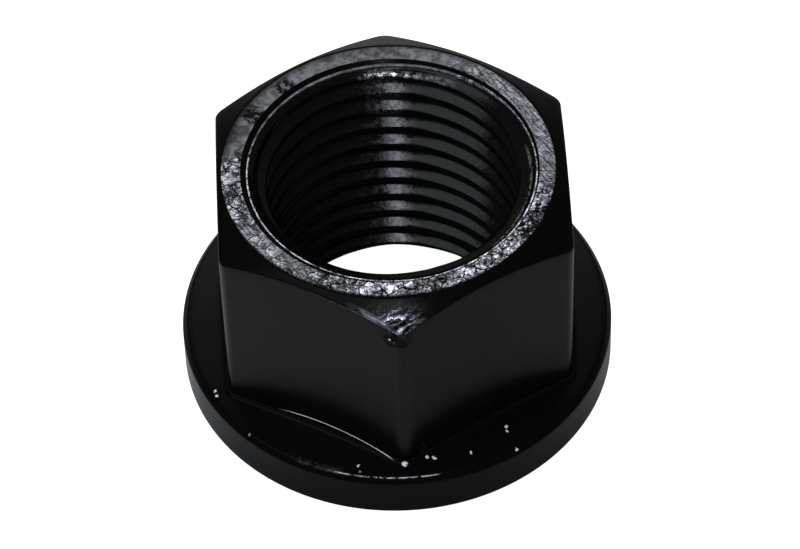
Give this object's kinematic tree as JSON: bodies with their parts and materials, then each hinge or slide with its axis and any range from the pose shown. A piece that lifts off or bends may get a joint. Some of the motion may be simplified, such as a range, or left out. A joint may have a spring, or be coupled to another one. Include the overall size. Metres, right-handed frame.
{
  "type": "wheel nut",
  "caption": "Black steel wheel nut: a tall bevelled hexagon on a plain round flange, tapped right through, for clamping a road wheel on its stud.",
  "frame": {"origin": "centre of the flange's flat bearing face, on the bore's axis", "axes": "+Z along the bore, from the bearing face towards the hexagon's top; two of the hexagon's corners lie along Y"},
  "size_m": [0.0342, 0.0342, 0.0213],
  "materials": {
    "black_steel": "black oxide under a thin film of oil, semi-gloss on the flats, and worn and speckled on the top face"
  },
  "bodies": {
    "root": {"wheel_nut": "black_steel"}
  },
  "joints": []
}
